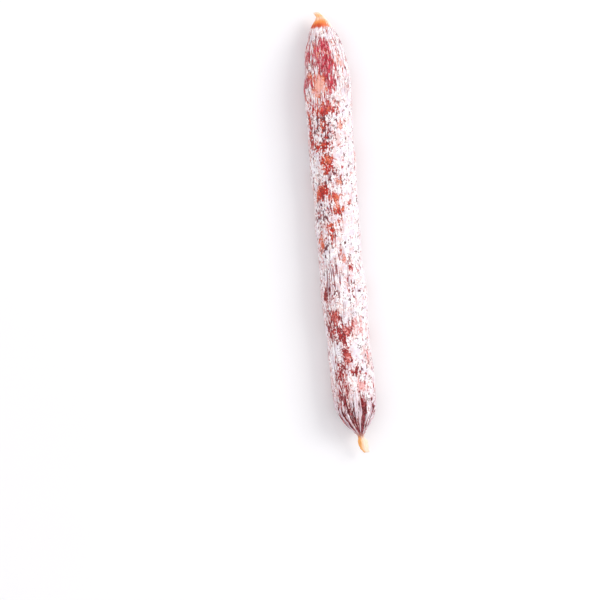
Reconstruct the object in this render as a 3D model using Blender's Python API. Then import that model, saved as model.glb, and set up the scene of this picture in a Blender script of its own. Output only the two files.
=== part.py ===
"""Slim dry-cured sausage, lying on its side.

One solid: the stick of meat with its natural casing shrunk on to it, a short blunt nub of casing at one
end and a twisted tail of casing at the other. Metres, +Z up. The stick lies along Y with the nub
towards +Y, and the origin is under the middle of its box, on the surface that it rests on.
"""

import math

import bmesh
import bpy

# Driving dimensions. A station is a distance along the stick from the end of the nub.
LENGTH = 0.196
RADIUS = 0.010
FLATNESS = 0.97  # height of a section over its width, from drying on a rack
PRESSED = 0.0006  # how deep the underside is flattened by what it lies on

# Half the width at each station, as a share of RADIUS.
OUTLINE = (
    (0.0000, 0.14),
    (0.0010, 0.15),
    (0.0023, 0.16),
    (0.0036, 0.25),
    (0.0062, 0.42),
    (0.0125, 0.70),
    (0.0170, 0.86),
    (0.0245, 0.97),
    (0.0350, 1.03),
    (0.0600, 1.00),
    (0.1050, 0.96),
    (0.1230, 1.01),
    (0.1370, 0.96),
    (0.1685, 0.93),
    (0.1756, 0.87),
    (0.1822, 0.57),
    (0.1860, 0.25),
    (0.1885, 0.12),
    (0.1905, 0.19),
    (0.1935, 0.17),
    (0.1960, 0.14),
)

# How far the middle of the section lies to the side (+X) and above the body's height, at each station.
SIDEWAYS = (
    (0.0000, -0.0012),
    (0.0024, 0.0002),
    (0.0040, 0.0005),
    (0.0075, 0.0003),
    (0.0140, 0.0006),
    (0.0250, 0.0006),
    (0.0450, -0.0001),
    (0.0800, -0.0011),
    (0.1100, -0.0018),
    (0.1500, -0.0019),
    (0.1760, -0.0017),
    (0.1885, -0.0007),
    (0.1905, -0.0001),
    (0.1935, 0.0003),
    (0.1960, 0.0011),
)
LIFT = (
    (0.0000, -0.0012),
    (0.0120, -0.0003),
    (0.0350, 0.0003),
    (0.0600, 0.0002),
    (0.1050, -0.0001),
    (0.1230, 0.0002),
    (0.1370, -0.0001),
    (0.1650, -0.0002),
    (0.1850, -0.0005),
    (0.1960, -0.0018),
)

# The last bit of each end, over which its radius rounds off to nothing.
NUB_ROUNDING = 0.0008
TAIL_ROUNDING = 0.0008

# Pleats where the casing is gathered, as (station of the gather, towards, fade length, pleats, depth).
GATHERS = (
    (0.0040, 1, 0.016, 8, 0.050),
    (0.1880, -1, 0.020, 9, 0.080),
)
GATHER_ONSET = 0.003  # the pleats also die away over this length past the gather, into the nub or tail

# The tail is a flat twist of casing.
TAIL_STATION = 0.189
TAIL_THINNESS = 0.55  # thickness over width
TAIL_TWIST = math.radians(35)

# Slow unevenness of the body, as (depth, wavelength along, waves around, phase).
LUMPS = (
    (0.00018, 0.031, 2, 0.4),
    (0.00014, 0.019, 3, 2.1),
    (0.00010, 0.013, 1, 4.0),
)
LUMP_FADE = 0.02

# Faces around the stick and along it, and how far the rings are drawn towards the ends.
AROUND = 40
ALONG = 64
END_CROWDING = 0.70

CASING_COLOUR = (0.66, 0.42, 0.40, 1.0)
CASING_ROUGHNESS = 0.7


def clear_scene():
    for found in list(bpy.data.objects):
        bpy.data.objects.remove(found)


def smooth_step(low, high, value):
    share = min(max((value - low) / (high - low), 0.0), 1.0)
    return share * share * (3.0 - 2.0 * share)


def slope_at(points, index):
    """Slope of the curve at one of its points, level where the points turn back."""
    if index in (0, len(points) - 1):
        return 0.0
    before, here, after = points[index - 1 : index + 2]
    rise_in = (here[1] - before[1]) / (here[0] - before[0])
    rise_out = (after[1] - here[1]) / (after[0] - here[0])
    if rise_in * rise_out <= 0.0:
        return 0.0
    return 2.0 * rise_in * rise_out / (rise_in + rise_out)


def curve_value(points, station):
    """Height of the smooth curve through the points, which never overshoots them."""
    last = len(points) - 2
    index = next((i for i in range(last) if station < points[i + 1][0]), last)
    (start, value_in), (end, value_out) = points[index], points[index + 1]
    span = end - start
    t = min(max((station - start) / span, 0.0), 1.0)
    slope_in = slope_at(points, index) * span
    slope_out = slope_at(points, index + 1) * span
    return (
        value_in * (1.0 + 2.0 * t) * (1.0 - t) ** 2
        + slope_in * t * (1.0 - t) ** 2
        + value_out * t * t * (3.0 - 2.0 * t)
        - slope_out * t * t * (1.0 - t)
    )


def end_rounding(station):
    """Share of the radius left where an end rounds off, as a quarter of an ellipse."""
    from_nub = min(station / NUB_ROUNDING, 1.0)
    from_tail = min((LENGTH - station) / TAIL_ROUNDING, 1.0)
    nearest = max(min(from_nub, from_tail), 0.0)
    return math.sqrt(nearest * (2.0 - nearest))


def pleat(station, angle):
    """Share by which the gathered casing stands proud, or below zero in a fold."""
    total = 0.0
    for gather, towards, fade, count, depth in GATHERS:
        inwards = (station - gather) * towards
        strength = smooth_step(-GATHER_ONSET, 0.0, inwards) * (1.0 - smooth_step(0.0, fade, inwards))
        total += depth * strength * math.cos(count * angle)
    return total


def lump(station, angle):
    fade = smooth_step(0.0, LUMP_FADE, min(station, LENGTH - station))
    waves = (
        depth * math.sin(math.tau * station / wavelength + phase) * math.cos(count * angle + phase)
        for depth, wavelength, count, phase in LUMPS
    )
    return fade * sum(waves)


def section_point(station, angle):
    """(sideways, up) of the surface from the middle of its section. Angle 0 is +X, a quarter turn is up."""
    radius = RADIUS * curve_value(OUTLINE, station) * (1.0 + pleat(station, angle)) + lump(station, angle)
    radius *= end_rounding(station)
    into_tail = smooth_step(TAIL_STATION - GATHER_ONSET, TAIL_STATION, station)
    flatness = FLATNESS + (TAIL_THINNESS - FLATNESS) * into_tail
    twist = TAIL_TWIST * max(station - TAIL_STATION, 0.0) / (LENGTH - TAIL_STATION)
    across = radius * math.cos(angle)
    up = radius * flatness * math.sin(angle)
    return (
        across * math.cos(twist) - up * math.sin(twist),
        across * math.sin(twist) + up * math.cos(twist),
    )


def surface_point(station, angle):
    across, up = section_point(station, angle)
    height = RADIUS * FLATNESS - PRESSED + curve_value(LIFT, station) + up
    return curve_value(SIDEWAYS, station) + across, LENGTH / 2.0 - station, max(height, 0.0)


def station_of(share):
    """Station of a ring that lies at this share of the way from the nub's pole to the tail's."""
    return LENGTH * (share - END_CROWDING * math.sin(math.tau * share) / math.tau)


def shape_sausage(mesh):
    """Draws a sphere out into the sausage: its poles become the two ends, and its rings the sections."""
    for vertex in mesh.verts:
        x, y, z = vertex.co
        polar_share = math.acos(min(max(z, -1.0), 1.0)) / math.pi
        vertex.co = surface_point(station_of(polar_share), math.atan2(-y, x))


def centre_on_origin(mesh):
    """Puts the middle of the box over the origin. Its lowest face is at height 0 already."""
    for axis in (0, 1):
        values = [vertex.co[axis] for vertex in mesh.verts]
        middle = (min(values) + max(values)) / 2.0
        for vertex in mesh.verts:
            vertex.co[axis] -= middle


def casing_material():
    material = bpy.data.materials.new("dry_casing")
    material.use_nodes = True
    shader = material.node_tree.nodes["Principled BSDF"]
    shader.inputs["Base Color"].default_value = CASING_COLOUR
    shader.inputs["Roughness"].default_value = CASING_ROUGHNESS
    shader.inputs["Metallic"].default_value = 0.0
    return material


def make_sausage(collection):
    mesh = bmesh.new()
    bmesh.ops.create_uvsphere(mesh, u_segments=AROUND, v_segments=ALONG, radius=1.0)
    shape_sausage(mesh)
    centre_on_origin(mesh)
    data = bpy.data.meshes.new("sausage")
    mesh.to_mesh(data)
    mesh.free()
    data.shade_smooth()
    data.materials.append(casing_material())
    sausage = bpy.data.objects.new("sausage", data)
    collection.objects.link(sausage)


def main():
    clear_scene()
    collection = bpy.data.collections.new("cured_sausage")
    bpy.context.scene.collection.children.link(collection)
    make_sausage(collection)


main()
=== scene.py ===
"""Studio scene of one slim dry-cured sausage: a casing white with mould, bare red patches, gathered ends."""

import itertools
import math

import bpy
import numpy as np
from mathutils import Matrix, Vector


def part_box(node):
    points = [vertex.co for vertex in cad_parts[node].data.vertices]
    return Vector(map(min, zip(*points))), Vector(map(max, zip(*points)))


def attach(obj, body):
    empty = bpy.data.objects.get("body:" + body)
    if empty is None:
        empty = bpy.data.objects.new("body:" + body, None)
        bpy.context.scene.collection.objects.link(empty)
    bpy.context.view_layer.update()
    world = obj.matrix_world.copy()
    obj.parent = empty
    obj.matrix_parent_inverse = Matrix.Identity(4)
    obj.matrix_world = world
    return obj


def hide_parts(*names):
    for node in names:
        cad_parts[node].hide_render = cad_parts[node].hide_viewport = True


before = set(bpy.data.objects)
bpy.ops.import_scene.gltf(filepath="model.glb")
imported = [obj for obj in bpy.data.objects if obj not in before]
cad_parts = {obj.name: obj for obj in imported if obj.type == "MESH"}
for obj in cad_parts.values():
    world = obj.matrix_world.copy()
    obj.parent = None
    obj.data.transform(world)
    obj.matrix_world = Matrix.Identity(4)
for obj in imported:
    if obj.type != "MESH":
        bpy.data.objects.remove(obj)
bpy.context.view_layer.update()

LOW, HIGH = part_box("sausage")
MM = 0.001

# ---- The plain shape, as the CAD has it. A station is a distance along the stick from the end of the nub.
LENGTH = HIGH.y - LOW.y
RADIUS = 0.010
FLATNESS = 0.97
PRESSED = 0.0006

# Half the width at each station, as a share of RADIUS.
OUTLINE = (
    (0.0000, 0.14),
    (0.0010, 0.15),
    (0.0023, 0.16),
    (0.0036, 0.25),
    (0.0062, 0.42),
    (0.0125, 0.70),
    (0.0170, 0.86),
    (0.0245, 0.97),
    (0.0350, 1.03),
    (0.0600, 1.00),
    (0.1050, 0.96),
    (0.1230, 1.01),
    (0.1370, 0.96),
    (0.1685, 0.93),
    (0.1756, 0.87),
    (0.1822, 0.57),
    (0.1860, 0.25),
    (0.1885, 0.12),
    (0.1905, 0.19),
    (0.1935, 0.17),
    (0.1960, 0.14),
)

# How far the middle of the section lies to the side (+X) and above the body's height, at each station.
SIDEWAYS = (
    (0.0000, -0.0012),
    (0.0024, 0.0002),
    (0.0040, 0.0005),
    (0.0075, 0.0003),
    (0.0140, 0.0006),
    (0.0250, 0.0006),
    (0.0450, -0.0001),
    (0.0800, -0.0011),
    (0.1100, -0.0018),
    (0.1500, -0.0019),
    (0.1760, -0.0017),
    (0.1885, -0.0007),
    (0.1905, -0.0001),
    (0.1935, 0.0003),
    (0.1960, 0.0011),
)
LIFT = (
    (0.0000, -0.0012),
    (0.0120, -0.0003),
    (0.0350, 0.0003),
    (0.0600, 0.0002),
    (0.1050, -0.0001),
    (0.1230, 0.0002),
    (0.1370, -0.0001),
    (0.1650, -0.0002),
    (0.1850, -0.0005),
    (0.1960, -0.0018),
)
NUB_ROUNDING = 0.0008
TAIL_ROUNDING = 0.0008
TAIL_STATION = 0.189
TAIL_THINNESS = 0.55
TAIL_TWIST = math.radians(35)
GATHER_ONSET = 0.003
TAIL_RAGGEDNESS = 0.0006

# Slow unevenness of the body, as (depth, wavelength along, waves around, phase).
LUMPS = (
    (0.00018, 0.031, 2, 0.4),
    (0.00014, 0.019, 3, 2.1),
    (0.00010, 0.013, 1, 4.0),
)
LUMP_FADE = 0.02

# ---- The visual mesh
AROUND = 232
ALONG = 424
END_CROWDING = 0.40
MAP_MARGIN = 0.004
SEED = 7

# ---- Where the casing shows bare on the upper side, in millimetres:
# (station, share of the way from the middle to the edge, half length, half width, how bare, how fatty).
BARE_PATCHES = (
    (16.5, -0.05, 3.6, 5.0, 1.0, 0.10),
    (18.5, -0.42, 4.0, 2.6, 0.8, 0.12),
    (22.0, -0.02, 4.0, 3.8, 0.75, 0.15),
    (28.0, -0.05, 5.5, 3.4, 0.8, 0.10),
    (34.5, 0.12, 4.5, 2.2, 0.8, 0.10),
    (19.5, -0.86, 3.8, 2.8, 1.2, 0.40),
    (25.0, -0.50, 2.0, 4.0, 0.4, 0.10),
    (30.5, -0.80, 2.2, 3.4, 1.1, 0.35),
    (34.5, -0.98, 4.5, 2.0, 1.2, 0.05),
    (32.5, -0.38, 3.8, 2.3, 1.0, 1.30),
    (36.5, -0.50, 2.4, 1.9, 1.0, 0.75),
    (23.5, 0.60, 3.0, 2.8, 0.7, 1.00),
    (43.0, -0.45, 2.8, 6.5, 0.6, 0.30),
    (45.5, -0.26, 1.7, 2.0, 1.3, 0.05),
    (44.5, 0.20, 3.0, 2.4, 0.6, 0.45),
    (48.0, -0.88, 4.2, 1.6, 1.1, 0.20),
    (49.5, -0.20, 3.6, 4.6, 0.25, 0.30),
    (52.0, 0.40, 3.0, 1.3, 0.9, 0.90),
    (55.0, -0.40, 4.4, 4.8, 0.20, 0.10),
    (54.0, -0.90, 4.0, 1.4, 0.9, 0.10),
    (60.5, -0.40, 2.3, 4.6, 0.9, 0.40),
    (59.0, -0.85, 3.2, 1.6, 0.6, 0.60),
    (66.5, -0.22, 3.2, 3.2, 1.2, 0.35),
    (71.5, -0.25, 2.0, 2.6, 0.6, 0.00),
    (67.5, 0.62, 2.0, 1.6, 0.5, 0.85),
    (76.0, 0.22, 2.0, 1.9, 0.8, 0.75),
    (79.5, -0.62, 3.4, 4.2, 1.1, 0.40),
    (82.5, -0.10, 1.8, 3.4, 0.8, 0.65),
    (85.5, 0.00, 2.4, 1.2, 0.9, 0.60),
    (88.5, 0.10, 1.8, 3.4, 1.0, 0.45),
    (85.5, 0.60, 2.0, 2.0, 0.7, 0.80),
    (87.5, -0.70, 5.0, 3.4, 0.3, 0.00),
    (95.0, -0.30, 2.0, 2.0, 0.7, 0.50),
    (99.5, -0.33, 2.9, 2.0, 1.0, 0.25),
    (103.0, -0.80, 3.8, 2.4, 0.9, 0.60),
    (107.0, 0.05, 2.4, 0.9, 0.7, 0.75),
    (110.5, 0.15, 1.8, 0.9, 0.7, 0.60),
    (113.5, 0.40, 1.6, 1.3, 1.0, 0.35),
    (118.0, -0.45, 7.0, 5.0, 0.1, 0.00),
    (123.0, 0.35, 2.8, 2.0, 0.4, 0.60),
    (125.0, -0.78, 5.5, 1.3, 0.8, 0.20),
    (134.5, -0.58, 3.0, 3.0, 1.0, 0.20),
    (137.0, 0.30, 2.8, 2.6, 0.4, 0.80),
    (138.0, 0.62, 5.0, 1.6, 0.6, 1.0),
    (140.5, -0.83, 4.4, 2.0, 0.65, 0.10),
    (142.0, -0.45, 3.0, 3.0, 0.65, 0.15),
    (141.0, 0.03, 2.4, 2.4, 0.85, 0.50),
    (146.5, -0.18, 3.9, 2.6, 0.6, 0.30),
    (152.0, -0.13, 2.4, 2.2, 1.0, 0.35),
    (153.0, 0.80, 3.8, 2.2, 0.85, 0.95),
    (158.5, -0.55, 5.5, 3.2, 0.7, 0.30),
    (159.0, 0.20, 1.6, 2.3, 0.6, 0.00),
    (164.0, 0.93, 2.8, 1.4, 0.7, 0.80),
    (165.0, 0.38, 2.7, 2.2, 0.9, 0.90),
    (168.5, -0.45, 4.8, 3.4, 0.7, 0.20),
    (172.5, 0.35, 4.2, 1.3, 1.1, 0.10),
    (175.5, 0.75, 1.3, 1.8, 0.7, 0.55),
)

# Where the mould is unbroken: (station, share towards the edge, half length, half width, how thick).
MOULD_PATCHES = (
    (11.0, 0.10, 2.8, 9.0, 0.6),
    (14.0, 0.75, 5.0, 3.0, 0.6),
    (19.0, 0.72, 3.0, 2.0, 0.5),
    (36.0, 0.66, 7.0, 4.4, 1.0),
    (25.5, -0.72, 2.2, 2.6, 0.5),
    (35.5, -0.78, 3.0, 1.2, 0.8),
    (48.0, 0.88, 8.0, 2.6, 0.7),
    (58.0, 0.60, 4.0, 4.0, 0.6),
    (66.0, 0.55, 5.0, 5.2, 0.9),
    (71.0, -0.75, 6.0, 2.6, 0.8),
    (90.0, -0.45, 6.0, 4.5, 0.25),
    (92.0, 0.65, 5.0, 4.0, 0.7),
    (101.0, 0.45, 6.0, 4.4, 0.7),
    (112.0, -0.45, 8.0, 5.0, 0.25),
    (116.0, 0.78, 8.0, 3.2, 0.7),
    (130.0, 0.10, 3.6, 4.6, 0.8),
    (148.0, 0.32, 3.2, 2.4, 0.7),
    (148.5, -0.62, 2.6, 2.2, 0.7),
    (170.0, -0.05, 4.0, 1.4, 0.5),
)

# Where thin dark wrinkles run close together along the casing, given in the same way.
WRINKLED_PATCHES = (
    (30.0, -0.10, 11.0, 5.0, 0.7),
    (56.0, -0.15, 4.5, 3.0, 0.6),
    (74.0, -0.20, 3.0, 2.6, 0.7),
    (120.0, -0.25, 10.0, 6.5, 1.2),
    (155.0, -0.60, 12.0, 4.0, 0.4),
)

# Where the mould is dotted with small dark pores, given in the same way.
DOTTED_PATCHES = (
    (28.0, -0.70, 4.0, 4.0, 0.7),
    (53.0, -0.45, 7.0, 6.0, 1.1),
    (73.0, 0.25, 5.0, 5.0, 0.5),
    (88.0, -0.70, 7.0, 6.0, 1.3),
    (103.0, -0.60, 5.0, 5.0, 0.7),
    (142.0, -0.55, 8.0, 5.0, 0.7),
    (160.0, 0.60, 9.0, 6.0, 0.5),
)

# ---- Where the colouring changes: stations, in millimetres, from the start of a change to its end.
NUB_ENDS = (7.3, 8.1)
CRIMSON_ENDS = (30.0, 48.0)
SOAKED_ENDS = (36.0, 50.0)  # up to here the casing is soaked red, with many pale threads and few dark gaps
BRICK_BEGINS = (95.0, 130.0)
MIDDLE = (100.0, 101.0)  # the nub's colours give way to the tail's here, where neither shows
RIDGES_BEGIN = (166.0, 178.0)
TAIL_BEGINS = (185.5, 189.0)

# How much the noises are squeezed along the stick, which draws their features out.
SPECKLED = (1.0, 0.65, 1.0)
DRAWN_OUT = (1.0, 0.17, 1.0)
LONG_DRAWN = (1.0, 0.07, 1.0)

BUMP_DEPTH = 0.06 * MM

# ---- Camera and framing
LEAN = math.radians(5.86)  # how far the stick leans from upright in the picture
PICTURE_WIDTH = 0.264  # what the picture takes in, at the height of the stick's middle
OFF_CENTRE = (0.0177, 0.0296)  # the stick's middle in the picture, right of and above the picture's centre
LENS = 100.0
SENSOR = 36.0

# ---- Floor and light
FLOOR_HALF = 4.0
KEY_PLACE = (0.75, 0.30, 0.75)
KEY_SIZE = 0.55
KEY_WATTS = 4.7
KEY_COLOUR = (1.0, 0.99, 0.98)
SKY_COLOUR = (0.95, 0.94, 0.97, 1.0)
SKY_STRENGTH = 1.03


# ---- Noise

NOISE_GAIN = 1.6  # brings the noise up to about -1 to 1
TONE_MIDDLE = 0.4
FOLD_WIDTH = 0.24  # half the width of a fold, as a share of the noise that makes it
SHUFFLE = np.random.default_rng(SEED).permutation(256)
DIRECTIONS = np.random.default_rng(SEED + 1).normal(size=(256, 3))
DIRECTIONS /= np.linalg.norm(DIRECTIONS, axis=1)[:, None]


def lattice_direction(cells, seed):
    spot = SHUFFLE[(cells[:, 0] + seed) & 255]
    spot = SHUFFLE[(spot + cells[:, 1]) & 255]
    return DIRECTIONS[SHUFFLE[(spot + cells[:, 2]) & 255]]


def noise(points, seed):
    """Smooth noise, about -1 to 1, that changes over about one unit. Each seed gives another one."""
    cells = np.floor(points).astype(int)
    within = points - cells
    ease = within**3 * (within * (within * 6.0 - 15.0) + 10.0)
    total = np.zeros(len(points))
    for corner in itertools.product((0, 1), repeat=3):
        weight = np.prod(np.where(corner, ease, 1.0 - ease), axis=1)
        slope = lattice_direction(cells + corner, seed)
        total += weight * np.einsum("ij,ij->i", slope, within - corner)
    return total * NOISE_GAIN


def smooth_step(low, high, values):
    share = np.clip((values - low) / (high - low), 0.0, 1.0)
    return share * share * (3.0 - 2.0 * share)


def creases(values, width):
    """1 along the lines where the noise crosses zero, falling to 0 at this value to each side."""
    return 1.0 - smooth_step(0.0, width, np.abs(values))


# ---- The plain shape

def curve_values(points, stations):
    """Heights at these stations of the smooth curve through the points, which never overshoots them."""
    at, value = np.array(points).T
    rise = np.diff(value) / np.diff(at)
    both = rise[:-1] * rise[1:]
    slope = np.zeros(len(at))
    steady = both > 0.0
    slope[1:-1][steady] = (2.0 * both / np.where(steady, rise[:-1] + rise[1:], 1.0))[steady]
    index = np.clip(np.searchsorted(at, stations, side="right") - 1, 0, len(at) - 2)
    span = at[index + 1] - at[index]
    t = np.clip((stations - at[index]) / span, 0.0, 1.0)
    return (
        value[index] * (1.0 + 2.0 * t) * (1.0 - t) ** 2
        + slope[index] * span * t * (1.0 - t) ** 2
        + value[index + 1] * t * t * (3.0 - 2.0 * t)
        - slope[index + 1] * span * t * t * (1.0 - t)
    )


def lump(station, angle):
    fade = smooth_step(0.0, LUMP_FADE, np.minimum(station, LENGTH - station))
    waves = sum(
        depth * np.sin(math.tau * station / wavelength + phase) * np.cos(count * angle + phase)
        for depth, wavelength, count, phase in LUMPS
    )
    return fade * waves


def end_rounding(station):
    nearest = np.minimum(station / NUB_ROUNDING, (LENGTH - station) / TAIL_ROUNDING)
    nearest = np.clip(nearest, 0.0, 1.0)
    return np.sqrt(nearest * (2.0 - nearest))


def place(station, angle, relief):
    """Points of the surface, with this relief added to the radius."""
    radius = RADIUS * curve_values(OUTLINE, station) + lump(station, angle) + relief
    radius *= end_rounding(station)
    into_tail = smooth_step(TAIL_STATION - GATHER_ONSET, TAIL_STATION, station)
    flatness = FLATNESS + (TAIL_THINNESS - FLATNESS) * into_tail
    twist = TAIL_TWIST * np.maximum(station - TAIL_STATION, 0.0) / (LENGTH - TAIL_STATION)
    across = radius * np.cos(angle)
    up = radius * flatness * np.sin(angle)
    height = RADIUS * FLATNESS - PRESSED + curve_values(LIFT, station)
    height += across * np.sin(twist) + up * np.cos(twist)
    sideways = curve_values(SIDEWAYS, station) + across * np.cos(twist) - up * np.sin(twist)
    # The tail was cut off carelessly, so its end isn't square.
    askew = 0.5 + 0.3 * np.sin(angle + 0.6) + 0.2 * np.sin(5.0 * angle + 1.0)
    drawn_in = TAIL_RAGGEDNESS * askew * smooth_step(LENGTH - 3.0 * TAIL_RAGGEDNESS, LENGTH, station)
    return np.stack([sideways, LENGTH / 2.0 - station + drawn_in, np.maximum(height, 0.0)], axis=1)


# ---- The surface fields

def straightened(station, angle):
    """Where each point would be on an even round bar of the body's radius, in millimetres."""
    bar = RADIUS / MM
    return np.stack([bar * np.cos(angle), station / MM, bar * np.sin(angle)], axis=1)


def patch_weight(station, angle, at, share, half_length, half_width):
    """1 in the middle of a patch on the upper side, about a third at its edge, and 0 well past it."""
    towards = math.acos(share)
    along = (station / MM - at) / half_length
    around = (angle - towards) * RADIUS / MM / half_width
    return np.exp(-(along**2 + around**2) * 1.2)


def fat_lumps(bar):
    """The lumps of fat under the casing, which show pale and stand slightly proud."""
    return noise(bar / (3.4, 4.4, 3.4), 21)


def surface_fields(station, angle, bar):
    """What each point of the casing is like, by name."""
    upper = smooth_step(-0.15, 0.30, np.sin(angle))
    body = smooth_step(0.006, 0.014, station)
    broad = noise(bar / (7.0, 10.0, 7.0), 11)
    middling = noise(bar / (3.0, 4.6, 3.0), 12)
    small = noise(bar / (1.5, 2.3, 1.5), 13)
    left = smooth_step(-0.25, 0.75, -np.cos(angle)) * upper
    right = smooth_step(0.0, 0.8, np.cos(angle)) * upper
    # The mould lies thicker on the upper side, and thicker on its right than on its left; the extra white on
    # the right is partly painted light, where the key light falls.
    cover = 0.20 + (0.18 - 0.06 * left) * upper + 0.12 * right
    cover += (0.34 - 0.18 * upper) * broad + 0.22 * middling + 0.18 * small
    tone = TONE_MIDDLE + 0.9 * fat_lumps(bar) + 0.3 * noise(bar / 1.6, 22)
    # Each patch pulls the tone towards its own, and outside them all it is left as it is.
    tone_weight = np.full(len(station), 0.15)
    tone_total = tone * tone_weight
    for at, share, half_length, half_width, strength, fat in BARE_PATCHES:
        weight = patch_weight(station, angle, at, share, half_length, half_width)
        cover -= 0.62 * strength * weight
        tone_total += (fat + 0.40 * (tone - TONE_MIDDLE)) * weight
        tone_weight += weight
    for at, share, half_length, half_width, strength in MOULD_PATCHES:
        cover += 0.5 * strength * patch_weight(station, angle, at, share, half_length, half_width)
    ends = 1.0 - smooth_step(0.030, 0.050, station) + smooth_step(0.158, 0.176, station)
    streak = 0.35 + 0.35 * noise(bar / (6.0, 14.0, 6.0), 31) + 0.65 * ends
    lined = 0.05 + 0.40 * np.clip(streak, 0.0, 1.0) + 0.25 * noise(bar / (6.0, 12.0, 6.0), 32)
    for at, share, half_length, half_width, strength in WRINKLED_PATCHES:
        lined += strength * patch_weight(station, angle, at, share, half_length, half_width)
    dotted = 0.35 + 0.5 * noise(bar / (6.0, 8.0, 6.0), 33)
    for at, share, half_length, half_width, strength in DOTTED_PATCHES:
        dotted += strength * patch_weight(station, angle, at, share, half_length, half_width)
    return {
        "cover": np.clip(cover, -1.0, 1.0) * body + 0.4 * (1.0 - body),
        "fat": np.clip(tone_total / tone_weight, 0.0, 1.0),
        "streak": np.clip(streak, 0.0, 1.0),
        "lined": np.clip(lined, 0.0, 1.0) * body,
        "dotted": np.clip(dotted, 0.0, 1.0) * body,
    }


def gather_folds(station, angle):
    """Folds of the casing where it is gathered, 1 at the bottom of a fold, and how strong they are here."""
    round_us = np.stack([np.cos(angle), np.zeros(len(angle)), np.sin(angle)], axis=1)
    tail = smooth_step(0.160, 0.184, station)
    nub = 1.0 - smooth_step(0.004, 0.022, station)
    wander = station[:, None] * (0.0, 40.0, 0.0)
    coarse = creases(noise(round_us * 2.3 + wander, 41), FOLD_WIDTH)
    fine = creases(noise(round_us * 5.0 + wander * 1.5, 42), FOLD_WIDTH)
    return np.maximum(coarse, 0.55 * fine), tail + 0.35 * nub


def relief_and_fields(station, angle):
    """(relief in metres, fields by name) of the surface."""
    bar = straightened(station, angle)
    fields = surface_fields(station, angle, bar)
    radius = RADIUS * curve_values(OUTLINE, station)
    full = smooth_step(0.25, 0.9, radius / RADIUS)
    wide = bar / (5.0, 8.0, 5.0)
    bend = np.stack([noise(wide, 51), np.zeros(len(station)), noise(wide, 52)], axis=1)
    warped = bar + 1.2 * bend
    wrinkle = creases(noise(warped / (1.9, 13.0, 1.9), 53), 0.30)
    fine_wrinkle = creases(noise(warped / (1.0, 6.0, 1.0), 54), 0.34)
    crust = smooth_step(-0.05, 0.15, fields["cover"])
    folds, gathered = gather_folds(station, angle)
    relief = MM * full * (
        0.26 * noise(bar / (7.0, 9.0, 7.0), 55)
        + 0.14 * fat_lumps(bar)
        - 0.20 * wrinkle * fields["streak"]
        - 0.09 * fine_wrinkle * (0.3 + fields["streak"])
        + 0.07 * crust
        + 0.05 * noise(bar / (0.9, 1.4, 0.9), 56) * crust
    )
    # The nub and the tail are crumpled across.
    crumple = noise(bar / (4.0, 1.6, 4.0), 57) + 0.5 * noise(bar / (2.0, 0.8, 2.0), 58)
    relief += 0.22 * radius * crumple * (1.0 - smooth_step(0.2, 0.4, radius / RADIUS))
    relief += radius * gathered * (0.07 - 0.22 * folds)
    fields["fold"] = np.clip(wrinkle * fields["streak"] * 0.8, 0.0, 1.0)
    fields["pleat"] = np.clip(folds * gathered, 0.0, 1.0)
    return relief, fields


# ---- The sausage's mesh

def ring_stations():
    share = np.arange(1, ALONG) / ALONG
    return LENGTH * (share - END_CROWDING * np.sin(math.tau * share) / math.tau)


def grid_faces():
    """Faces of the rings as quads, and of the two ends as fans, by vertex number."""
    rings = ALONG - 1
    ring, column = np.divmod(np.arange((rings - 1) * AROUND), AROUND)
    beside = (column + 1) % AROUND
    here = 2 + ring * AROUND
    there = here + AROUND
    quads = np.stack([here + column, there + column, there + beside, here + beside], axis=1)
    column = np.arange(AROUND)
    beside = (column + 1) % AROUND
    last = 2 + (rings - 1) * AROUND
    nub_fan = np.stack([np.zeros(AROUND, int), 2 + column, 2 + beside], axis=1)
    tail_fan = np.stack([np.ones(AROUND, int), last + beside, last + column], axis=1)
    return quads.tolist() + nub_fan.tolist() + tail_fan.tolist()


def map_corners(points):
    """The flat map's (u, v) at each corner of each face: once around across it, and the length up it."""
    rings = points[2:].reshape(ALONG - 1, AROUND, 3)
    steps = np.linalg.norm(np.diff(rings, axis=0), axis=2).mean(axis=1)
    first = np.linalg.norm(rings[0] - points[0], axis=1).mean()
    last = np.linalg.norm(rings[-1] - points[1], axis=1).mean()
    reached = np.cumsum(np.concatenate([[0.0, first], steps, [last]]))
    reached /= reached[-1]
    ring, column = np.divmod(np.arange((ALONG - 2) * AROUND), AROUND)
    here, there = reached[ring + 1], reached[ring + 2]
    quads = np.stack([column, here, column, there, column + 1, there, column + 1, here], axis=1)
    column = np.arange(AROUND)
    nub, nub_ring, tail_ring, tail = (np.full(AROUND, reached[i]) for i in (0, 1, -2, -1))
    nub_fan = np.stack([column + 0.5, nub, column, nub_ring, column + 1, nub_ring], axis=1)
    tail_fan = np.stack([column + 0.5, tail, column + 1, tail_ring, column, tail_ring], axis=1)
    corners = np.concatenate([part.reshape(-1, 2) for part in (quads, nub_fan, tail_fan)])
    corners = corners * (1.0 / AROUND, -1.0) + (0.0, 1.0)
    return MAP_MARGIN + (1.0 - 2.0 * MAP_MARGIN) * corners


def add_attribute(mesh, name, kind, values):
    key = "vector" if kind == "FLOAT_VECTOR" else "value"
    mesh.attributes.new(name, kind, "POINT").data.foreach_set(key, values.astype(np.float32).ravel())


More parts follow.
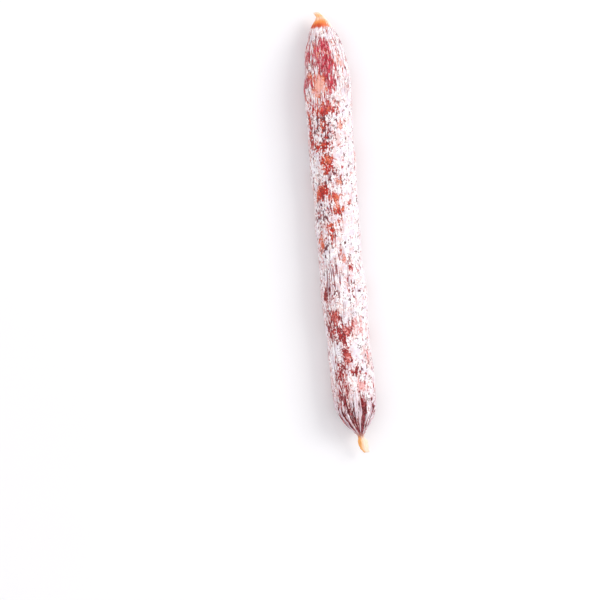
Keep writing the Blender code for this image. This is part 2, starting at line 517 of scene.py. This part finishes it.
def sausage_mesh():
    stations = np.concatenate([[0.0, LENGTH], np.repeat(ring_stations(), AROUND)])
    turn = np.tile(np.arange(AROUND) / AROUND, ALONG - 1)
    # The columns start and end along the underside, so that the seam of the map is hidden there.
    angles = np.concatenate([[0.0, 0.0], math.tau * turn - math.pi / 2.0])
    angles = np.where(angles > math.pi, angles - math.tau, angles)
    relief, fields = relief_and_fields(stations, angles)
    points = place(stations, angles, relief)
    plain = place(stations, angles, np.zeros(len(stations)))
    points[:, 0] += (LOW.x + HIGH.x - plain[:, 0].min() - plain[:, 0].max()) / 2.0
    mesh = bpy.data.meshes.new("mouldy_casing")
    mesh.from_pydata(points.tolist(), [], grid_faces())
    for name, values in fields.items():
        add_attribute(mesh, name, "FLOAT", values)
    add_attribute(mesh, "bar", "FLOAT_VECTOR", straightened(stations, angles))
    corners = map_corners(points).astype(np.float32)
    mesh.uv_layers.new(name="OFBake").uv.foreach_set("vector", corners.ravel())
    mesh.shade_smooth()
    return mesh


# ---- Colours

def display(red, green, blue):
    """A colour given as a screen shows it, as the linear one that shaders take."""
    linear = (c / 12.92 if c <= 0.04045 else ((c + 0.055) / 1.055) ** 2.4 for c in (red, green, blue))
    return (*linear, 1.0)


CRIMSON_LEAN = display(0.80, 0.20, 0.28)
RED_LEAN = display(0.80, 0.20, 0.14)
BRICK_LEAN = display(0.66, 0.18, 0.18)
DARK_LEAN = display(0.44, 0.08, 0.10)
ORANGE_MEAT = display(0.86, 0.42, 0.29)
ROSE_MEAT = display(0.79, 0.37, 0.33)
PEACH_FAT = display(0.94, 0.68, 0.61)
PINK_FAT = display(0.93, 0.67, 0.66)
VEIL = display(0.93, 0.70, 0.72)
MAROON_PITS_AND_GAP_SHADE = display(0.34, 0.07, 0.09)

MOULD_GREY = display(0.88, 0.84, 0.87)
MOULD_WHITE = display(0.985, 0.98, 0.98)
MOULD_THIN = display(0.90, 0.70, 0.69)
SCUFF = display(0.90, 0.72, 0.68)
WRINKLE = display(0.50, 0.18, 0.21)
DARK_SPOT = display(0.38, 0.06, 0.10)
RED_SPOT = display(0.70, 0.24, 0.23)

RIDGE_SKIN_AND_SHADE = display(0.82, 0.73, 0.77)
FLESH_IN_FOLD_SHADE = display(0.38, 0.04, 0.07)
PALE_FLESH = display(0.66, 0.30, 0.33)

NUB_TIP = display(0.99, 0.87, 0.77)
NUB_TAN = display(0.97, 0.76, 0.52)
NUB_CREAM = display(0.98, 0.80, 0.68)
NUB_ORANGE = display(0.95, 0.58, 0.28)
NUB_RUST = display(0.80, 0.30, 0.13)
NUB_SALMON = display(0.93, 0.50, 0.32)
NUB_PAINTED_HIGHLIGHT = display(0.99, 0.94, 0.90)
TAIL_ROOT = display(0.72, 0.40, 0.28)
TAIL_AMBER = display(0.95, 0.68, 0.38)
TAIL_PAINTED_HIGHLIGHT = display(1.0, 0.92, 0.83)

# The floor's two are linear already.
FLOOR_DARKER = (0.86, 0.86, 0.87, 1.0)
FLOOR_LIGHTER = (0.88, 0.88, 0.88, 1.0)


# ---- Shader nodes

def feed(tree, socket, value):
    if isinstance(value, bpy.types.NodeSocket):
        tree.links.new(value, socket)
    else:
        socket.default_value = value


def attribute(tree, name, output="Fac"):
    node = tree.nodes.new("ShaderNodeAttribute")
    node.attribute_name = name
    return node.outputs[output]


def maths(tree, operation, first, second=0.0, third=0.0):
    node = tree.nodes.new("ShaderNodeMath")
    node.operation = operation
    for socket, value in zip(node.inputs, (first, second, third)):
        feed(tree, socket, value)
    return node.outputs[0]


def times(tree, first, second):
    return maths(tree, "MULTIPLY", first, second)


def times_plus(tree, value, factor, added):
    return maths(tree, "MULTIPLY_ADD", value, factor, added)


def parts_of(tree, vector):
    node = tree.nodes.new("ShaderNodeSeparateXYZ")
    feed(tree, node.inputs[0], vector)
    return node.outputs


def stretched(tree, vector, factors):
    node = tree.nodes.new("ShaderNodeVectorMath")
    node.operation = "MULTIPLY"
    feed(tree, node.inputs[0], vector)
    node.inputs[1].default_value = factors
    return node.outputs[0]


def grain(tree, vector, scale, detail=2.0, distortion=0.0):
    """Noise around zero, about -0.5 to 0.5, with features about 1 / scale across."""
    node = tree.nodes.new("ShaderNodeTexNoise")
    feed(tree, node.inputs["Vector"], vector)
    node.inputs["Scale"].default_value = scale
    node.inputs["Detail"].default_value = detail
    node.inputs["Distortion"].default_value = distortion
    return maths(tree, "SUBTRACT", node.outputs["Fac"], 0.5)


def between(tree, value, low, high, to_low=0.0, to_high=1.0):
    """A smooth step from one value to another as this one goes from low to high."""
    node = tree.nodes.new("ShaderNodeMapRange")
    node.interpolation_type = "SMOOTHSTEP"
    feed(tree, node.inputs["Value"], value)
    for name, number in (("From Min", low), ("From Max", high), ("To Min", to_low), ("To Max", to_high)):
        node.inputs[name].default_value = number
    return node.outputs[0]


def wandering_lines(tree, vector, scale, distortion, inner, outer):
    """1 along the thin lines where a noise crosses zero, falling to 0 at the outer value to each side."""
    away = maths(tree, "ABSOLUTE", grain(tree, vector, scale, 4.0, distortion))
    return between(tree, away, inner, outer, 1.0, 0.0)


def blend(tree, factor, first, second):
    """A colour that goes from the first to the second as the factor goes from 0 to 1."""
    node = tree.nodes.new("ShaderNodeMix")
    node.data_type = "RGBA"
    feed(tree, node.inputs[0], factor)
    feed(tree, node.inputs[6], first)
    feed(tree, node.inputs[7], second)
    return node.outputs[2]


def mix_values(tree, factor, first, second):
    node = tree.nodes.new("ShaderNodeMix")
    feed(tree, node.inputs[0], factor)
    feed(tree, node.inputs[2], first)
    feed(tree, node.inputs[3], second)
    return node.outputs[0]


# ---- The casing's marks, each as how much of it shows, from 0 to 1.
# In all that follows, bar is the place on the straightened stick and station the distance along it.

def wrinkle_lines(tree, bar):
    """Thin dark wrinkles along the casing."""
    lines = between(tree, grain(tree, stretched(tree, bar, LONG_DRAWN), 1.45, 1.5, 0.15), 0.05, 0.09)
    return times(tree, lines, attribute(tree, "lined"))


def spots(tree, bar, streak):
    """Small dark pores and cracks in the mould."""
    speckled = stretched(tree, bar, SPECKLED)
    drawn_out = stretched(tree, bar, DRAWN_OUT)
    pores = mix_values(tree, streak, grain(tree, speckled, 0.8), grain(tree, drawn_out, 1.4))
    more = times_plus(tree, attribute(tree, "dotted"), 0.12, -0.06)
    pores = between(tree, maths(tree, "ADD", pores, more), 0.09, 0.115)
    cracks = wandering_lines(tree, speckled, 0.45, 0.8, 0.012, 0.04)
    cracks = times(tree, cracks, between(tree, grain(tree, bar, 0.45), 0.0, 0.07))
    return maths(tree, "MAXIMUM", times(tree, pores, 0.92), times(tree, cracks, 0.75))


def scuffs(tree, bar):
    """Wandering lines where the mould is rubbed thin."""
    lines = wandering_lines(tree, stretched(tree, bar, SPECKLED), 0.30, 1.2, 0.02, 0.05)
    return times(tree, lines, between(tree, grain(tree, bar, 0.22), -0.06, 0.06, 0.0, 0.6))


def veils(tree, bar, station, streak):
    """Pale threads of casing over the meat, most of them near the nub."""
    threads = between(tree, grain(tree, stretched(tree, bar, DRAWN_OUT), 2.0, 3.0), 0.02, 0.09)
    threads = times(tree, threads, times(tree, streak, 0.75))
    return times(tree, threads, between(tree, station, *SOAKED_ENDS, 1.0, 0.35))


def gathered_ridge(tree, station):
    """The lilac skin on top of the folds, greyed with painted shade, where the casing is gathered into the
    tail.
    """
    ridge = between(tree, attribute(tree, "pleat"), 0.04, 0.16, 0.65, 0.0)
    return times(tree, ridge, between(tree, station, *RIDGES_BEGIN))


def gathered_valley(tree, fine):
    """The bare flesh at the bottom of the folds, darkened there with painted shade."""
    return between(tree, times_plus(tree, fine, 1.8, attribute(tree, "pleat")), 0.36, 0.50, 0.0, 0.96)


# ---- The casing's colours

def meat_colour(tree, bar, station, lines):
    """Colour of the bare casing: red lean, orange to pink fat, maroon pits and creases, and maroon painted
    shade in small gaps.
    """
    later = between(tree, station, *BRICK_BEGINS)
    lean = blend(tree, between(tree, station, *CRIMSON_ENDS), CRIMSON_LEAN, RED_LEAN)
    lean = blend(tree, later, lean, BRICK_LEAN)
    lean = blend(tree, between(tree, grain(tree, bar, 0.6, 3.0), -0.12, 0.12, 0.55, 0.0), lean, DARK_LEAN)
    tone = times_plus(tree, grain(tree, bar, 0.9, 3.0), 1.2, attribute(tree, "fat"))
    colour = blend(tree, between(tree, tone, 0.30, 0.55), lean, blend(tree, later, ORANGE_MEAT, ROSE_MEAT))
    fat = blend(tree, later, PEACH_FAT, PINK_FAT)
    colour = blend(tree, between(tree, tone, 0.62, 0.84), colour, fat)
    colour = blend(tree, veils(tree, bar, station, attribute(tree, "streak")), colour, VEIL)
    pits_and_gap_shade = between(tree, grain(tree, bar, 1.3, 3.0), 0.02, 0.09)
    # Painted shade: small gaps in the mould are darkened to maroon.
    gap_shade = between(tree, attribute(tree, "cover"), 0.05, 0.32)
    pits_and_gap_shade = times(tree, maths(tree, "MAXIMUM", pits_and_gap_shade, gap_shade), 0.8)
    dark = maths(tree, "MAXIMUM", pits_and_gap_shade, times(tree, lines, 0.7))
    dark = times(tree, dark, between(tree, tone, 0.55, 0.95, 1.0, 0.35))
    dark = times(tree, dark, between(tree, station, *SOAKED_ENDS, 0.6, 1.0))
    return blend(tree, dark, colour, MAROON_PITS_AND_GAP_SHADE)


def spot_colour(tree, bar):
    """Dark maroon where the spots are dense, and redder elsewhere."""
    redder = times_plus(tree, attribute(tree, "dotted"), -0.18, grain(tree, bar, 0.35))
    return blend(tree, between(tree, redder, -0.09, 0.02), DARK_SPOT, RED_SPOT)


def mould_colour(tree, bar, depth, lines, streak):
    """Colour of the mould with its marks: white and lilac grey where it is thick, pink where it thins."""
    colour = blend(tree, between(tree, grain(tree, bar, 0.45, 4.0), -0.14, 0.09), MOULD_GREY, MOULD_WHITE)
    colour = blend(tree, between(tree, depth, 0.0, 0.26), MOULD_THIN, colour)
    colour = blend(tree, scuffs(tree, bar), colour, SCUFF)
    colour = blend(tree, times(tree, lines, 0.85), colour, WRINKLE)
    return blend(tree, spots(tree, bar, streak), colour, spot_colour(tree, bar))


def flesh_colour(tree, bar):
    # The flesh in the fold valleys; its darkest tone is painted shade.
    mottle = between(tree, grain(tree, stretched(tree, bar, SPECKLED), 1.3, 3.0), -0.04, 0.10)
    return blend(tree, mottle, FLESH_IN_FOLD_SHADE, PALE_FLESH)


def nub_colour(tree, at, rightwards):
    """Cream at the tip, then orange, rust where it meets the mould, and a pale painted highlight down its
    right side.
    """
    colour = blend(tree, between(tree, at, 0.8, 1.8), NUB_TIP, NUB_TAN)
    colour = blend(tree, between(tree, at, 1.8, 2.8), colour, NUB_CREAM)
    colour = blend(tree, between(tree, at, 3.0, 5.0), colour, NUB_ORANGE)
    rim = blend(tree, between(tree, rightwards, -2.0, 5.0), NUB_RUST, NUB_SALMON)
    colour = blend(tree, between(tree, at, 4.8, 6.6), colour, rim)
    # A pale painted highlight down the nub's right side.
    return blend(tree, between(tree, rightwards, 6.5, 8.5, 0.0, 0.9), colour, NUB_PAINTED_HIGHLIGHT)


def tail_colour(tree, at, rightwards):
    """Brown where the tail leaves the folds, then amber on its left and a cream painted highlight on its
    right.
    """
    # The cream on the flap's right is a painted highlight.
    flap = blend(tree, between(tree, rightwards, -6.0, 3.0), TAIL_AMBER, TAIL_PAINTED_HIGHLIGHT)
    return blend(tree, between(tree, at, 187.0, 189.5), TAIL_ROOT, flap)


def dry_end(tree, bar, station, ragged):
    """(how much of it shows, colour) of the bare casing at the nub and at the tail."""
    rightwards = times_plus(tree, ragged, 8.0, parts_of(tree, bar)[0])
    at = times_plus(tree, ragged, 2.5, station)
    nub, tail = nub_colour(tree, at, rightwards), tail_colour(tree, at, rightwards)
    shown = maths(tree, "MAXIMUM", between(tree, at, *NUB_ENDS, 1.0, 0.0), between(tree, at, *TAIL_BEGINS))
    return shown, blend(tree, between(tree, station, *MIDDLE), nub, tail)


# ---- Materials

def mould_depth(tree, ragged, fine):
    """How thick the mould lies. Below zero the casing is bare."""
    cover = attribute(tree, "cover")
    depth = times_plus(tree, ragged, 1.1, cover)
    depth = times_plus(tree, fine, between(tree, cover, 0.35, 0.85, 2.3, 1.5), depth)
    depth = times_plus(tree, attribute(tree, "fold"), -0.45, depth)
    return times_plus(tree, attribute(tree, "pleat"), -0.35, depth)


def casing_material():
    material = bpy.data.materials.new("mouldy_casing")
    material.use_nodes = True
    tree = material.node_tree
    shader = tree.nodes["Principled BSDF"]
    bar = attribute(tree, "bar", "Vector")
    station = parts_of(tree, bar)[1]
    streak = attribute(tree, "streak")

    # Two ragged noises, blotchy where the casing is smooth and streaky where it is drawn out.
    speckled = stretched(tree, bar, SPECKLED)
    drawn_out = stretched(tree, bar, DRAWN_OUT)
    blotchy = grain(tree, speckled, 0.9, 5.0, 0.5)
    streaky = times(tree, grain(tree, drawn_out, 1.5, 4.0, 0.4), 2.0)
    ragged = mix_values(tree, times(tree, streak, 0.85), blotchy, streaky)
    fine_blotchy = grain(tree, speckled, 1.5, 3.0, 0.3)
    fine_streaky = grain(tree, drawn_out, 2.2, 3.0, 0.3)
    fine = mix_values(tree, streak, fine_blotchy, fine_streaky)

    depth = mould_depth(tree, ragged, fine)
    mould = between(tree, depth, -0.04, 0.06)
    lines = wrinkle_lines(tree, bar)
    bare = meat_colour(tree, bar, station, lines)
    colour = blend(tree, mould, bare, mould_colour(tree, bar, depth, lines, streak))
    # Near the tail, the lilac fold ridges and dark fold valleys are partly painted shade.
    colour = blend(tree, gathered_ridge(tree, station), colour, RIDGE_SKIN_AND_SHADE)
    colour = blend(tree, gathered_valley(tree, fine), colour, flesh_colour(tree, bar))
    shown, dry = dry_end(tree, bar, station, ragged)
    colour = blend(tree, shown, colour, dry)
    tree.links.new(colour, shader.inputs["Base Color"])

    # The mould is matt powder, and the bare casing has a slight gloss.
    powder = times(tree, mould, maths(tree, "SUBTRACT", 1.0, shown))
    bare_roughness = maths(tree, "ADD", 0.38, times(tree, ragged, 0.3))
    tree.links.new(mix_values(tree, powder, bare_roughness, 0.92), shader.inputs["Roughness"])
    shader.inputs["Specular IOR Level"].default_value = 0.25
    shader.inputs["Sheen Weight"].default_value = 0.03
    shader.inputs["Sheen Roughness"].default_value = 0.5

    powder_height = times_plus(tree, grain(tree, bar, 4.0, 3.0), 0.6, 1.0)
    height = mix_values(tree, powder, times(tree, streaky, 0.6), powder_height)
    bump = tree.nodes.new("ShaderNodeBump")
    bump.inputs["Strength"].default_value = 0.5
    bump.inputs["Distance"].default_value = BUMP_DEPTH
    tree.links.new(height, bump.inputs["Height"])
    tree.links.new(bump.outputs[0], shader.inputs["Normal"])
    return material


def floor_material():
    material = bpy.data.materials.new("pale_floor")
    material.use_nodes = True
    tree = material.node_tree
    shader = tree.nodes["Principled BSDF"]
    place_in = tree.nodes.new("ShaderNodeTexCoord").outputs["Object"]
    tone = between(tree, grain(tree, place_in, 6.0, 3.0), -0.2, 0.2)
    tree.links.new(blend(tree, tone, FLOOR_DARKER, FLOOR_LIGHTER), shader.inputs["Base Color"])
    shader.inputs["Roughness"].default_value = 0.85
    return material


# ---- The scene

def make_sausage():
    sausage = bpy.data.objects.new("cured_sausage", sausage_mesh())
    bpy.context.scene.collection.objects.link(sausage)
    sausage.data.materials.append(casing_material())
    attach(sausage, "root")
    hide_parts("sausage")


def make_floor():
    mesh = bpy.data.meshes.new("floor")
    corners = [(x * FLOOR_HALF, y * FLOOR_HALF, 0.0) for x, y in ((-1, -1), (1, -1), (1, 1), (-1, 1))]
    mesh.from_pydata(corners, [], [(0, 1, 2, 3)])
    mesh.materials.append(floor_material())
    floor = bpy.data.objects.new("floor", mesh)
    bpy.context.scene.collection.objects.link(floor)


def aim(thing, place_at, target, up):
    """Puts a camera or light at a place, looking at the target with this direction up in the picture."""
    back = (Vector(place_at) - Vector(target)).normalized()
    right = Vector(up).cross(back).normalized()
    turn = Matrix((right, back.cross(right), back)).transposed()
    thing.matrix_world = Matrix.Translation(place_at) @ turn.to_4x4()


def make_camera():
    data = bpy.data.cameras.new("camera")
    data.lens = LENS
    data.sensor_width = SENSOR
    camera = bpy.data.objects.new("camera", data)
    bpy.context.scene.collection.objects.link(camera)
    up = Vector((math.sin(LEAN), math.cos(LEAN), 0.0))
    right = Vector((math.cos(LEAN), -math.sin(LEAN), 0.0))
    target = -OFF_CENTRE[0] * right - OFF_CENTRE[1] * up
    target.z = (LOW.z + HIGH.z) / 2.0
    distance = PICTURE_WIDTH * LENS / SENSOR
    aim(camera, target + Vector((0.0, 0.0, distance)), target, up)
    bpy.context.scene.camera = camera


def make_key_light():
    data = bpy.data.lights.new("key", "AREA")
    data.size = KEY_SIZE
    data.energy = KEY_WATTS
    data.color = KEY_COLOUR
    light = bpy.data.objects.new("key", data)
    bpy.context.scene.collection.objects.link(light)
    aim(light, KEY_PLACE, (0.0, 0.0, 0.0), (0.0, 1.0, 0.0))


def make_sky():
    world = bpy.data.worlds.new("studio")
    bpy.context.scene.world = world
    world.use_nodes = True
    background = world.node_tree.nodes["Background"]
    background.inputs["Color"].default_value = SKY_COLOUR
    background.inputs["Strength"].default_value = SKY_STRENGTH
    bpy.context.scene.view_settings.view_transform = "Standard"


make_sausage()
make_floor()
make_camera()
make_key_light()
make_sky()
